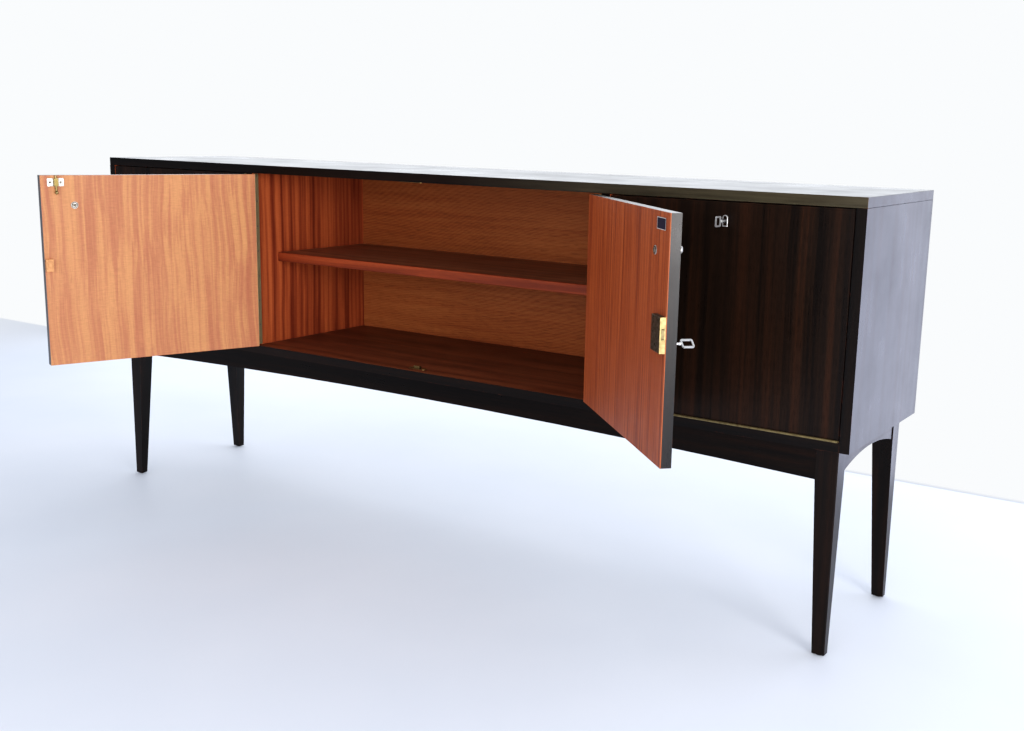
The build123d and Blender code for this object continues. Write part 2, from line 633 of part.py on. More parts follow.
def ring_sector(x, inner, outer, wide, start, end):
    """Part of a flat ring round the flap's hinge axis, from one angle above the horizontal to another."""
    outside = CenterArc((0, 0), outer, start, end - start)
    inside = CenterArc((0, 0), inner, start, end - start)
    sector = make_face([outside, Line(outside @ 1, inside @ 1), inside, Line(inside @ 0, outside @ 0)])
    across = Plane(origin=(x - wide / 2, AXIS_Y, FLAP_AXIS_Z), x_dir=(0, 1, 0), z_dir=(1, 0, 0))
    return extrude(across * sector, wide)


def stay(x, way):
    """A quadrant stay: an arc round the hinge axis, and a foot on the flap's inner face."""
    touch = 90 - math.degrees(math.asin((INNER_Y - AXIS_Y) / STAY_R))
    arc = ring_sector(x, STAY_R - STAY_W / 2, STAY_R + STAY_W / 2, STAY_T, 8.0, touch - 0.5)
    z = FLAP_AXIS_Z + STAY_R * math.sin(math.radians(touch))
    edge = x - way * STAY_T / 2
    wide, tall, thick = STAY_FOOT
    foot = block(edge, edge + way * wide, INNER_Y, INNER_Y + thick, z - tall / 2, z + tall / 2)
    return arc + foot


def keeper(x, way):
    """The guide on the compartment's wall that a stay slides through."""
    wall = x + way * STAY_OFF
    angle = math.radians(KEEPER_ANGLE)
    wide, deep, tall = KEEPER
    y, z = AXIS_Y + STAY_R * math.cos(angle), FLAP_AXIS_Z + STAY_R * math.sin(angle)
    body = block(x - way * wide / 2, wall, y - deep / 2, y + deep / 2, z - tall / 2, z + tall / 2)
    slot = ring_sector(x, STAY_R - STAY_W / 2 - 0.4, STAY_R + STAY_W / 2 + 0.4, STAY_T + 0.8, 50.0, 86.0)
    return body - slot


def side_door():
    """The left compartment's door, hung on the left divider."""
    left, right = -SIDE_IN + FREE_GAP, -DIVIDER_OUT - DOOR_GAP
    front("side_door", left, right, DOOR_LOW, DOOR_HIGH, SIDE[HOLES], as_is)
    write("side_door_hinge_leaf", SIDE[DOOR_LEAF])
    write("side_door_hinge_screws", SIDE[DOOR_SCREWS])
    write("side_door_knob", knob(left + KNOB_IN / 2))


def hinge_frames():
    """What the case keeps of the four hinges."""
    hinges = (LEFT, RIGHT, SIDE, FLAP)
    write("hinge_frame_leaves", [h[FRAME_LEAF] for h in hinges])
    write("hinge_frame_screws", [s for h in hinges for s in h[FRAME_SCREWS]])
    write("hinge_pins", [h[PIN] for h in hinges])


carcase()
top_strike()
floor_catch()
base()
shelves()
hinge_frames()
left_door()
right_door()
flap()
side_door()
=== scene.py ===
import json
import math

import bmesh
import bpy
from mathutils import Matrix, Vector


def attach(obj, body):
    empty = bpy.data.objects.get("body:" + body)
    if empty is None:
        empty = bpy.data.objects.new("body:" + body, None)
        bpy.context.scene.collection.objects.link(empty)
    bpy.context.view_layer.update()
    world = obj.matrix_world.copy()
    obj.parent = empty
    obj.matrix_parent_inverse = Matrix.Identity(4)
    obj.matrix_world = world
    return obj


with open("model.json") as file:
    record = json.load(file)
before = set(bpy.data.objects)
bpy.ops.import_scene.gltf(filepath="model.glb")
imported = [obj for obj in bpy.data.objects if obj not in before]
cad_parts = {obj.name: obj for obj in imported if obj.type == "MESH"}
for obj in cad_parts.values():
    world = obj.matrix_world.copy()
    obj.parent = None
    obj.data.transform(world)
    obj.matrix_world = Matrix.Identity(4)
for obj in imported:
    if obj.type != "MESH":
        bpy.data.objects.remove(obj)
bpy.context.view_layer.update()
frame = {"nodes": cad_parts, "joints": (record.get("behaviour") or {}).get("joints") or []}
nodes = frame["nodes"]

# ---- driving values, in metres and degrees ---------------------------------------------------------
LEFT_OPEN = 110.5             # how far the centre doors stand open
RIGHT_OPEN = 136.5
ARRIS = 0.0008                # rounding of the boards' edges
FINE_ARRIS = 0.0003           # and of the metal pieces
MAX_VERTS = 60000             # a denser CAD mesh than this keeps its edges as they are

BOLT_PLATE_T = 0.0015         # the surface bolt's plate
BOLT_SCREW_OUT = 0.0112       # from its rod to each of its screws
BOLT_SCREW = (0.0023, 0.0009)     # screw heads are (radius, height)
KNOB_SCREW = (0.0030, 0.0008)
KNOB_SCREW_H = 0.0016         # how far the CAD knob's own screw stands off its washer
# the knob screws' cup: a washer's rim in dark screw metal, which also stands in for the contact shadow
# round the washer
KNOB_SHADOW_CUP = (0.0066, 0.0048, 0.0007)     # outer radius, inner radius, height
LOCK_SCREW = (0.0019, 0.0006)
LOCK_SCREW_COLUMNS = (0.25, 0.80)       # shares of the lock case's width
LOCK_SCREW_ROW = 0.40         # share of its height, up and down from its middle
SCREW_SLOT = 0.0004           # half of a slot's width
LABEL_RIM = 0.0011
LABEL_RIM_H = 0.0001

CAMERA_PLACE = (1.7078, -2.0167, 0.9887)
CAMERA_YAW = 32.744
CAMERA_PITCH = 11.538
CAMERA_ROLL = 1.364
CAMERA_LENS = 41.44
CAMERA_SHIFT = (-0.0394, 0.0016)

SHADOW_TONES = ((0.02, 0.012), (0.06, 0.045), (0.16, 0.145), (0.35, 0.35))

# index of refraction: how strongly each lacquer mirrors
DARK_IOR = 1.26
FRONT_IOR = 1.22
BASE_IOR = 1.22
EDGE_IOR = 1.42               # the centre doors' edges
VENEER_IOR = 1.34
FRONT_GLOW = 2.5              # the fronts' stain is this much lighter than the case's

WALL_WHITE = (0.955, 0.972, 0.985)
ROOM_DIM = (0.72, 0.74, 0.80)   # the room in front of the object, as light on it
ROOM_DARK = (0.22, 0.23, 0.26)  # and as its polished faces see it
ROOM_LIGHT = (0.9, 0.94, 1.0)   # the room behind it
WALL_Y = 1.31                 # where the floor ends at the white wall
WALL_BLUR = 0.03
SHEEN_Y = 1.28                # the wall's second light, just in front of it
WALL_MID_Z = 1.25
FLOOR_RADIUS = 14.0
FLOOR_FADE = (2.9, 5.5)       # distances between which the floor melts into white


# ---- camera, floor and light -----------------------------------------------------------------------

def add_camera():
    """The camera, turned by yaw, pitch and roll."""
    yaw, pitch, roll = (math.radians(a) for a in (CAMERA_YAW, CAMERA_PITCH, CAMERA_ROLL))
    ahead = Vector((-math.sin(yaw) * math.cos(pitch), math.cos(yaw) * math.cos(pitch), -math.sin(pitch)))
    right = Vector((math.cos(yaw), math.sin(yaw), 0))
    up = right.cross(ahead)
    across = right * math.cos(roll) + up * math.sin(roll)
    upward = up * math.cos(roll) - right * math.sin(roll)
    camera = bpy.data.objects.new("camera", bpy.data.cameras.new("camera"))
    camera.data.lens = CAMERA_LENS
    camera.data.sensor_width = 36.0
    camera.data.shift_x, camera.data.shift_y = CAMERA_SHIFT
    turn = Matrix((across, upward, -ahead)).transposed()
    camera.matrix_world = Matrix.Translation(CAMERA_PLACE) @ turn.to_4x4()
    bpy.context.scene.collection.objects.link(camera)
    bpy.context.scene.camera = camera


def add_panel(name, place, target, size, watts, colour, sheen_only=False):
    """A soft rectangular light that the camera doesn't see. A sheen light shows only in gloss."""
    light = bpy.data.objects.new(name, bpy.data.lights.new(name, "AREA"))
    light.data.shape = "RECTANGLE"
    light.data.size, light.data.size_y = size
    light.data.energy = watts
    light.data.color = colour
    way = Vector(target) - Vector(place)
    light.matrix_world = Matrix.Translation(place) @ way.to_track_quat("-Z", "Y").to_matrix().to_4x4()
    light.visible_camera = False
    light.visible_diffuse = not sheen_only
    bpy.context.scene.collection.objects.link(light)


def add_wall(name, x, width, watts, colour, sheen_watts, sheen_colour):
    """A stretch of lit wall behind the object: one light on everything, and one on gloss alone."""
    size = (width, 2 * WALL_MID_Z)
    target = (x, 0.0, WALL_MID_Z)
    add_panel(f"{name}_wall", (x, WALL_Y, WALL_MID_Z), target, size, watts, colour)
    add_panel(f"{name}_sheen", (x, SHEEN_Y, WALL_MID_Z), target, size, sheen_watts, sheen_colour,
              sheen_only=True)


def set_tones():
    """Deep shadows, as a camera gives them."""
    view = bpy.context.scene.view_settings
    view.view_transform = "Standard"
    view.use_curve_mapping = True
    curve = view.curve_mapping.curves[3]
    for tone in SHADOW_TONES:
        curve.points.new(*tone)
    view.curve_mapping.update()


def room_light(tree, depth, front):
    """A room's light: one colour in front of the object, and white behind it."""
    ramp = tree.nodes.new("ShaderNodeValToRGB")
    ends = ((0.36, front), (0.72, ROOM_LIGHT))
    for element, (position, colour) in zip(ramp.color_ramp.elements, ends):
        element.position = position
        element.color = (*colour, 1)
    tree.links.new(depth, ramp.inputs[0])
    light = tree.nodes.new("ShaderNodeBackground")
    tree.links.new(ramp.outputs[0], light.inputs["Color"])
    return light


def add_world():
    """A white room to look at. What lights the object is white behind it and dimmer in front of it."""
    world = bpy.data.worlds.new("room")
    bpy.context.scene.world = world
    world.use_nodes = True
    tree = world.node_tree
    tree.nodes.clear()
    place = tree.nodes.new("ShaderNodeTexCoord")
    split = tree.nodes.new("ShaderNodeSeparateXYZ")
    tree.links.new(place.outputs["Generated"], split.inputs[0])
    lift = tree.nodes.new("ShaderNodeMath")
    lift.operation = "MULTIPLY_ADD"
    lift.inputs[1].default_value = 0.5
    lift.inputs[2].default_value = 0.5
    tree.links.new(split.outputs["Y"], lift.inputs[0])
    path = tree.nodes.new("ShaderNodeLightPath")
    lit = room_light(tree, lift.outputs[0], ROOM_DIM)
    mirrored = room_light(tree, lift.outputs[0], ROOM_DARK)
    seen = tree.nodes.new("ShaderNodeBackground")
    seen.inputs["Color"].default_value = (*WALL_WHITE, 1)
    for ray, other in (("Is Glossy Ray", mirrored), ("Is Camera Ray", seen)):
        mix = tree.nodes.new("ShaderNodeMixShader")
        tree.links.new(path.outputs[ray], mix.inputs[0])
        tree.links.new(lit.outputs[0], mix.inputs[1])
        tree.links.new(other.outputs[0], mix.inputs[2])
        lit = mix
    out = tree.nodes.new("ShaderNodeOutputWorld")
    tree.links.new(lit.outputs[0], out.inputs[0])


def add_floor():
    """A pale floor that melts into the white of the room far from the object."""
    disc = bpy.data.meshes.new("floor")
    shape = bmesh.new()
    bmesh.ops.create_circle(shape, cap_ends=True, segments=96, radius=FLOOR_RADIUS)
    shape.to_mesh(disc)
    shape.free()
    floor = bpy.data.objects.new("floor", disc)
    bpy.context.scene.collection.objects.link(floor)
    paint = Finish("floor_paint")
    place = paint.add("ShaderNodeTexCoord").outputs["Object"]
    away = paint.add("ShaderNodeVectorMath", {0: place}, operation="LENGTH").outputs["Value"]
    far = paint.add("ShaderNodeMapRange", {0: away, 1: FLOOR_FADE[0], 2: FLOOR_FADE[1]}).outputs[0]
    depth = paint.add("ShaderNodeSeparateXYZ", {0: place}).outputs["Y"]
    behind = paint.add("ShaderNodeMapRange", {0: depth, 1: WALL_Y, 2: WALL_Y + WALL_BLUR}).outputs[0]
    fade = paint.math("MAXIMUM", far, behind)
    cloud = paint.noise(place, 1.6, detail=3)
    tone = paint.ramp(cloud, [(0.3, (0.72, 0.77, 0.86)), (0.7, (0.77, 0.81, 0.89))])
    paint.set(tone, 0.6)
    paint.shader.inputs["Specular IOR Level"].default_value = 0.15
    glow = paint.add("ShaderNodeEmission")
    glow.inputs["Color"].default_value = (*WALL_WHITE, 1)
    seen = paint.add("ShaderNodeLightPath").outputs["Is Camera Ray"]
    share = paint.math("MULTIPLY", fade, seen)
    mix = paint.add("ShaderNodeMixShader", {0: share, 1: paint.shader.outputs[0], 2: glow.outputs[0]})
    paint.tree.links.new(mix.outputs[0], paint.out.inputs["Surface"])
    disc.materials.append(paint.material)


# ---- materials -------------------------------------------------------------------------------------

class Finish:
    """One procedural material, with short calls that add its nodes and join them."""

    def __init__(self, name):
        self.material = bpy.data.materials.new(name)
        self.material.use_nodes = True
        self.tree = self.material.node_tree
        self.shader = self.tree.nodes["Principled BSDF"]
        self.out = self.tree.nodes["Material Output"]

    def add(self, kind, inputs=None, **settings):
        """A node with its settings and inputs. An input is a value, or another node's output."""
        node = self.tree.nodes.new(kind)
        for key, value in settings.items():
            setattr(node, key, value)
        for key, value in (inputs or {}).items():
            self.join(value, node.inputs[key])
        return node

    def join(self, value, socket):
        if isinstance(value, bpy.types.NodeSocket):
            self.tree.links.new(value, socket)
        else:
            socket.default_value = value

    def math(self, operation, *values):
        return self.add("ShaderNodeMath", dict(enumerate(values)), operation=operation).outputs[0]

    def noise(self, place, scale, detail=2.0, rough=0.5, output="Fac"):
        inputs = {"Vector": place, "Scale": scale, "Detail": detail, "Roughness": rough}
        return self.add("ShaderNodeTexNoise", inputs).outputs[output]

    def ramp(self, value, stops):
        """A colour ramp from (position, colour or grey) stops."""
        node = self.add("ShaderNodeValToRGB", {0: value})
        line = node.color_ramp
        line.interpolation = "LINEAR"
        while len(line.elements) < len(stops):
            line.elements.new(0.5)
        for element, (position, colour) in zip(line.elements, stops):
            element.position = position
            rgb = colour if isinstance(colour, tuple) else (colour,) * 3
            element.color = (*rgb, 1)
        return node.outputs["Color"]

    def mix(self, share, first, second, blend="MIX"):
        """A mix of two colours."""
        node = self.add("ShaderNodeMix", data_type="RGBA", blend_type=blend)
        sockets = (node.inputs[0], node.inputs[6], node.inputs[7])
        for socket, value in zip(sockets, (share, first, second)):
            if isinstance(value, tuple):
                value = (*value, 1)
            self.join(value, socket)
        return node.outputs[2]

    def scaled(self, place, scale, turn=0.0, shift=(0, 0, 0)):
        """Coordinates turned about Z, then stretched."""
        inputs = {"Vector": place, "Rotation": (0, 0, math.radians(turn)), "Location": shift}
        turned = self.add("ShaderNodeMapping", inputs).outputs[0]
        return self.add("ShaderNodeVectorMath", {0: turned, 1: scale}, operation="MULTIPLY").outputs[0]

    def set(self, colour, rough, height=None, depth=0.0002, strength=0.3):
        """Join the shader's colour, roughness and bump height."""
        self.join(colour, self.shader.inputs["Base Color"])
        self.join(rough, self.shader.inputs["Roughness"])
        if height is not None:
            inputs = {"Height": height, "Distance": depth, "Strength": strength}
            self.join(self.add("ShaderNodeBump", inputs).outputs[0], self.shader.inputs["Normal"])

    def edges(self, radius):
        """How near a point is to an arris, from 0 on a flat face to 1."""
        rounded = self.add("ShaderNodeBevel", {"Radius": radius}, samples=4).outputs[0]
        flat = self.add("ShaderNodeNewGeometry").outputs["Normal"]
        same = self.add("ShaderNodeVectorMath", {0: rounded, 1: flat}, operation="DOT_PRODUCT")
        return self.add("ShaderNodeMapRange", {0: same.outputs["Value"], 1: 0.995, 2: 0.8}).outputs[0]


def grain_scale(along, across, length):
    """Scale for stretched noise: fine across the grain, slow along it."""
    scale = [across] * 3
    scale["xyz".index(along)] = length
    return tuple(scale)


def wood_colour(finish, place, along, stops, ribbon, turn, seed, wander, fine=0.16, pores=0.5,
                lean=0.0):
    """A board's colour and pore height. The ribbons are slow stripes that run along the grain."""
    base = finish.scaled(place, (1, 1, 1), turn, (seed, seed * 0.7, seed * 0.3))
    if lean:
        tilt = {"Vector": base, "Rotation": (0, math.radians(lean), 0)}
        base = finish.add("ShaderNodeMapping", tilt).outputs[0]
    drift = finish.noise(finish.scaled(base, grain_scale(along, 3.0, 2.2)), 1.0, 2, output="Color")
    half = (0.5, 0.5, 0.5)
    moved = finish.add("ShaderNodeVectorMath", {0: drift, 1: half}, operation="SUBTRACT").outputs[0]
    moved = finish.add("ShaderNodeVectorMath", {0: moved, "Scale": wander}, operation="SCALE").outputs[0]
    bent = finish.add("ShaderNodeVectorMath", {0: base, 1: moved}, operation="ADD").outputs[0]
    broad = finish.noise(finish.scaled(bent, grain_scale(along, ribbon, ribbon * 0.012)), 1.0, 3, 0.55)
    thin = finish.noise(finish.scaled(bent, grain_scale(along, ribbon * 5, ribbon * 0.08)), 1.0, 3, 0.6)
    pore = finish.noise(finish.scaled(base, grain_scale(along, 1500, 45)), 1.0, 2, 0.6)
    value = finish.math("MULTIPLY_ADD", finish.math("SUBTRACT", thin, 0.5), fine * 2, broad)
    colour = finish.ramp(value, stops)
    dark = finish.ramp(pore, [(0.36, pores), (0.5, 1.0)])
    return finish.mix(1.0, colour, dark, "MULTIPLY"), pore, value


def dark_look(finish, along="z", turn=0.0, seed=0.0, glow=1.0, painted_edge_sheen=0.0):
    """Nearly black stained mahogany under satin lacquer, with reddish streaks and rubbed arrises.
    Glow above 1 is a lighter stain. Its last argument paints a lighter olive on faces that look to the
    front, more towards +X: a painted highlight and reflection on the top's front edge."""
    place = finish.add("ShaderNodeTexCoord").outputs["Object"]
    stops = [(0.32, (0.0030 * glow, 0.0019 * glow, 0.0015 * glow)),
             (0.5, (0.0066 * glow, 0.0034 * glow, 0.0021 * glow)),
             (0.70, (0.0130 * glow, 0.0052 * glow, 0.0026 * glow))]
    colour, pore, value = wood_colour(finish, place, along, stops, 52, turn, seed, 0.012)
    # painted highlight and reflection: a lighter olive on faces that look to the front, growing towards
    # +X
    if painted_edge_sheen:
        split = finish.add("ShaderNodeSeparateXYZ", {0: place})
        normal = finish.add("ShaderNodeTexCoord").outputs["Normal"]
        ahead = finish.add("ShaderNodeVectorMath", {0: normal, 1: (0, -1, 0)}, operation="DOT_PRODUCT")
        right = finish.add("ShaderNodeMapRange", {0: split.outputs["X"], 1: 0.1, 2: 0.75}).outputs[0]
        share = finish.math("MULTIPLY", finish.math("GREATER_THAN", ahead.outputs["Value"], 0.6), right)
        cloud = finish.noise(finish.scaled(place, (9, 60, 160)), 1.0, 4, 0.6)
        sheen_patch = finish.math("MULTIPLY", finish.ramp(cloud, [(0.3, 0.55), (0.65, 1.0)]), painted_edge_sheen)
        colour = finish.mix(finish.math("MULTIPLY", share, sheen_patch), colour, (0.115, 0.098, 0.060))
    spots = finish.ramp(finish.noise(place, 38, 4, 0.7), [(0.52, 0.0), (0.66, 1.0)])
    worn = finish.math("MULTIPLY", finish.edges(0.0012), spots)
    colour = finish.mix(finish.math("MULTIPLY", worn, 0.8), colour, (0.16, 0.045, 0.022))
    hand = finish.noise(place, 7, 4, 0.6)
    rough = finish.ramp(hand, [(0.3, 0.24), (0.7, 0.33)])
    streak = finish.ramp(value, [(0.3, 0.0), (0.7, 0.05)])
    return colour, finish.mix(1.0, rough, streak, "ADD"), pore


# one wood in several cuts and finishes, its tones partly painted light: the left door's is a lit copy
# with its sheen painted in, the right door's a shaded copy, and the shelf's a lit copy of the board's.
# Ribbon, wander and fine shape its stripes, lean tilts them in degrees, and pores and flake darken it
# in dots and ripples
MAHOGANY = {
    # lit copy: lighter tones, with the sheen of the lit inner face painted in
    "left_door": dict(stops=[(0.30, (0.47, 0.165, 0.086)), (0.43, (0.52, 0.198, 0.098)),
                             (0.57, (0.62, 0.268, 0.118)), (0.70, (0.66, 0.298, 0.126))],
                      ribbon=72, wander=0.055, fine=0.08, pores=0.90, rough=0.48, lean=-0.8, flake=0.14),
    # shaded copy: darker tones for the inner face turned away from the light
    "right_door": dict(stops=[(0.36, (0.205, 0.039, 0.011)), (0.48, (0.30, 0.064, 0.017)),
                              (0.62, (0.39, 0.094, 0.025))],
                       ribbon=165, wander=0.006, fine=0.10, pores=0.86, rough=0.48, flake=0.08),
    "divider": dict(stops=[(0.32, (0.17, 0.028, 0.011)), (0.44, (0.29, 0.060, 0.022)),
                           (0.57, (0.46, 0.112, 0.038)), (0.70, (0.54, 0.142, 0.048))],
                    ribbon=66, wander=0.020, fine=0.07, pores=0.86, rough=0.48, flake=0.10),
    "board": dict(stops=[(0.34, (0.120, 0.034, 0.015)), (0.50, (0.185, 0.055, 0.024)),
                         (0.66, (0.25, 0.080, 0.035))],
                  ribbon=46, wander=0.05, fine=0.2, pores=0.80, rough=0.44, flake=0.06),
    # lit copy of the board's wood: lighter tones for the lit shelf top
    "shelf": dict(stops=[(0.34, (0.18, 0.062, 0.030)), (0.50, (0.27, 0.100, 0.050)),
                         (0.66, (0.35, 0.140, 0.072))],
                  ribbon=46, wander=0.05, fine=0.2, pores=0.80, rough=0.44, flake=0.06),
    "lipping": dict(stops=[(0.34, (0.16, 0.028, 0.009)), (0.50, (0.24, 0.044, 0.013)),
                           (0.66, (0.30, 0.060, 0.018))],
                    ribbon=60, wander=0.02, fine=0.2, pores=0.80, rough=0.46, flake=0.05),
}


def mahogany_look(finish, kind, along="z", turn=0.0, seed=0.0):
    """Ribbon-striped mahogany veneer under satin lacquer."""
    spec = MAHOGANY[kind]
    place = finish.add("ShaderNodeTexCoord").outputs["Object"]
    colour, pore, _ = wood_colour(finish, place, along, spec["stops"], spec["ribbon"], turn, seed,
                                  spec["wander"], spec["fine"], spec["pores"], spec.get("lean", 0.0))
    flake = finish.noise(finish.scaled(place, grain_scale(along, 70.0, 420.0)), 1.0, 3, 0.6)
    curl = finish.ramp(flake, [(0.3, 1.0 - spec["flake"]), (0.7, 1.0)])
    colour = finish.mix(1.0, colour, curl, "MULTIPLY")
    hand = finish.noise(place, 9, 4, 0.6)
    rough = finish.ramp(hand, [(0.3, spec["rough"] - 0.05), (0.7, spec["rough"] + 0.06)])
    return colour, rough, pore


def cathedral_look(finish, seed=0.0):
    """Plain-sawn veneer of the back panel: long nested arches lying along X."""
    place = finish.add("ShaderNodeTexCoord").outputs["Object"]
    base = finish.scaled(place, (1, 1, 1), 0, (seed, 0, seed * 0.4))
    hill = finish.noise(finish.scaled(base, (1.15, 0, 2.1)), 1.0, 1.0, 0.4)
    split = finish.add("ShaderNodeSeparateXYZ", {0: base})
    level = finish.math("MULTIPLY_ADD", split.outputs["X"], -0.22, split.outputs["Z"])
    level = finish.math("MULTIPLY_ADD", hill, 0.35, level)
    ring = finish.math("SINE", finish.math("MULTIPLY", level, 900.0))
    wobble = finish.noise(finish.scaled(base, (3, 3, 90)), 1.0, 4, 0.6)
    value = finish.math("MULTIPLY_ADD", finish.math("SUBTRACT", wobble, 0.5), 0.6, 0.5)
    value = finish.math("MULTIPLY_ADD", ring, 0.06, value)
    broad = finish.noise(finish.scaled(base, (1.2, 1.2, 5)), 1.0, 2)
    value = finish.math("MULTIPLY_ADD", finish.math("SUBTRACT", broad, 0.5), 0.45, value)
    colour = finish.ramp(value, [(0.28, (0.24, 0.064, 0.019)), (0.5, (0.32, 0.098, 0.030)),
                                 (0.72, (0.39, 0.132, 0.043))])
    pore = finish.noise(finish.scaled(base, (45, 900, 900)), 1.0, 2, 0.6)
    colour = finish.mix(1.0, colour, finish.ramp(pore, [(0.36, 0.72), (0.52, 1.0)]), "MULTIPLY")
    return colour, 0.45, pore


def sawn_look(finish, dark, light, along, rough=0.7):
    """Plain sawn or stained wood, for the rear and the corner blocks."""
    place = finish.add("ShaderNodeTexCoord").outputs["Object"]
    colour, pore, _ = wood_colour(finish, place, along, [(0.3, dark), (0.7, light)], 60, 0, 3.0, 0.03)
    return colour, rough, pore


def wood(name, ior, look, *args):
    """A material that is the same wood all over."""
    finish = Finish(name)
    colour, rough, pore = look(finish, *args)
    finish.set(colour, rough, pore, 0.0001, 0.15)
    finish.shader.inputs["IOR"].default_value = ior
    return finish.material


def veneered(name, inner, outer, *directions, iors=(DARK_IOR, DARK_IOR)):
    """A board with one wood on the faces that look in the given directions, and another elsewhere."""
    finish = Finish(name)
    normal = finish.add("ShaderNodeTexCoord").outputs["Normal"]
    share = 0.0
    for way in directions:
        facing = finish.add("ShaderNodeVectorMath", {0: normal, 1: way}, operation="DOT_PRODUCT")
        hit = finish.math("GREATER_THAN", facing.outputs["Value"], 0.75)
        share = finish.math("MAXIMUM", hit, share)
    sides = [[part if not isinstance(part, float) else (part,) * 3 for part in look(finish, *args)]
             for look, *args in (outer, inner)]
    colour, rough, pore = (finish.mix(share, outside, inside) for outside, inside in zip(*sides))
    finish.set(colour, rough, pore, 0.0001, 0.15)
    inner_ior, outer_ior = iors
    ior = inner_ior
    if inner_ior != outer_ior:
        # shows in renders only: an exported model loses a linked IOR
        ior = finish.math("MULTIPLY_ADD", share, inner_ior - outer_ior, outer_ior)
    finish.join(ior, finish.shader.inputs["IOR"])
    return finish.material


def metal(name, colour, dull, rough, spots=0.5, bare=1.0, split=None):
    """Metal with a tarnished and handled surface. Bare is 1 for clean metal and less under a film.
    Split is (way, level, colour): past that level along that way, it takes that colour, another metal's
    on the bolt plate and a painted lit copy of the brass on the hinges."""
    finish = Finish(name)
    place = finish.add("ShaderNodeTexCoord").outputs["Object"]
    stain = finish.noise(place, 160, 4, 0.65)
    share = finish.ramp(stain, [(0.42, 0.0), (0.72, spots)])
    rim = finish.math("MULTIPLY", finish.edges(0.0006), 0.35)
    tone = finish.mix(share, colour, dull)
    if split:
        way, level, other = split
        out = finish.add("ShaderNodeVectorMath", {0: place, 1: way}, operation="DOT_PRODUCT")
        tone = finish.mix(finish.math("GREATER_THAN", out.outputs["Value"], level), tone, other)
    tone = finish.mix(rim, tone, tuple(min(1.0, c * 1.25) for c in colour))
    scratch = finish.noise(finish.scaled(place, (300, 300, 2400)), 1.0, 2, 0.6)
    shine = finish.ramp(stain, [(0.3, rough * 0.8), (0.75, rough * 1.5)])
    finish.set(tone, shine, scratch, 0.00005, 0.25)
    finish.shader.inputs["Metallic"].default_value = bare
    return finish.material


def rubber(name):
    """The glides under the feet."""
    finish = Finish(name)
    place = finish.add("ShaderNodeTexCoord").outputs["Object"]
    fleck = finish.noise(place, 900, 3)
    tone = finish.ramp(fleck, [(0.3, (0.012, 0.012, 0.013)), (0.7, (0.03, 0.029, 0.028))])
    finish.set(tone, 0.6, fleck, 0.0001, 0.3)
    return finish.material


def label_ink(name, dark, light):
    """Printed foil, plain and without lettering."""
    finish = Finish(name)
    place = finish.add("ShaderNodeTexCoord").outputs["Object"]
    fleck = finish.noise(place, 700, 3)
    finish.set(finish.ramp(fleck, [(0.3, dark), (0.7, light)]), 0.5, fleck, 0.00005, 0.2)
    finish.shader.inputs["IOR"].default_value = 1.3
    return finish.material


# ---- dressing the CAD nodes ------------------------------------------------------------------------

def dress(material, *names):
    """Give CAD nodes a material."""
    for name in names:
        node = nodes[name]
        node.data.materials.clear()
        node.data.materials.append(material)


def soften(radius, *names):
    """Round the sharp edges of CAD nodes, without touching their meshes."""
    for name in names:
        node = nodes[name]
        if len(node.data.vertices) > MAX_VERTS:
            continue
        bevel = node.modifiers.new("arris", "BEVEL")
        bevel.width = radius
        bevel.segments = 2
        bevel.limit_method = "ANGLE"
        bevel.angle_limit = math.radians(40)
        bevel.harden_normals = False


def dress_case():
    """The dark case, its veneered inside and the base."""
    upright, level = (dark_look, "z", 0.0, 1.3), (dark_look, "x", 0.0, 4.1)
    board, divider = (mahogany_look, "board", "x", 0.0, 2.0), (mahogany_look, "divider", "z", 0.0, 5.3)
    rear = (sawn_look, (0.018, 0.009, 0.006), (0.05, 0.022, 0.012), "x", 0.6)
    # the top board's front edge gets 0.52 of the painted highlight and reflection
    dress(veneered("top_board_wood", board, (*level, 1.0, 0.52), (0, 0, -1)), "top_board")
    dress(veneered("bottom_board_wood", board, level, (0, 0, 1)), "bottom_board")
    dress(veneered("left_side_wood", divider, upright, (1, 0, 0)), "left_side")
    dress(veneered("right_side_wood", divider, upright, (-1, 0, 0)), "right_side")
    dress(veneered("divider_wood", divider, upright, (1, 0, 0), (-1, 0, 0)), "left_divider",
          "right_divider")
    dress(veneered("back_wood", (cathedral_look, 3.1), rear, (0, -1, 0)), "back_panel")
    dress(wood("dark_level", BASE_IOR, *level), "front_apron", "rear_apron")
    dress(wood("dark_rail", DARK_IOR, dark_look, "y", 0.0, 2.2), "left_arch_rail", "right_arch_rail")
    dress(wood("dark_upright", DARK_IOR, *upright), "front_left_leg", "front_right_leg",
          "rear_left_leg", "rear_right_leg")
    dress(wood("mahogany_shelf", VENEER_IOR, mahogany_look, "shelf", "x", 0.0, 2.0), "centre_shelf",
          "side_shelf")
    dress(wood("mahogany_lipping", VENEER_IOR, mahogany_look, "lipping", "x", 0.0, 7.7),
          "centre_shelf_lipping")
    softwood = wood("softwood", VENEER_IOR, sawn_look, (0.26, 0.15, 0.07), (0.44, 0.28, 0.15), "z")
    dress(softwood, "corner_blocks")
    soften(ARRIS, "top_board", "bottom_board", "left_side", "right_side", "front_apron", "rear_apron",
           "left_arch_rail", "right_arch_rail", "front_left_leg", "front_right_leg", "rear_left_leg",
           "rear_right_leg", "centre_shelf", "side_shelf", "centre_shelf_lipping", "corner_blocks")


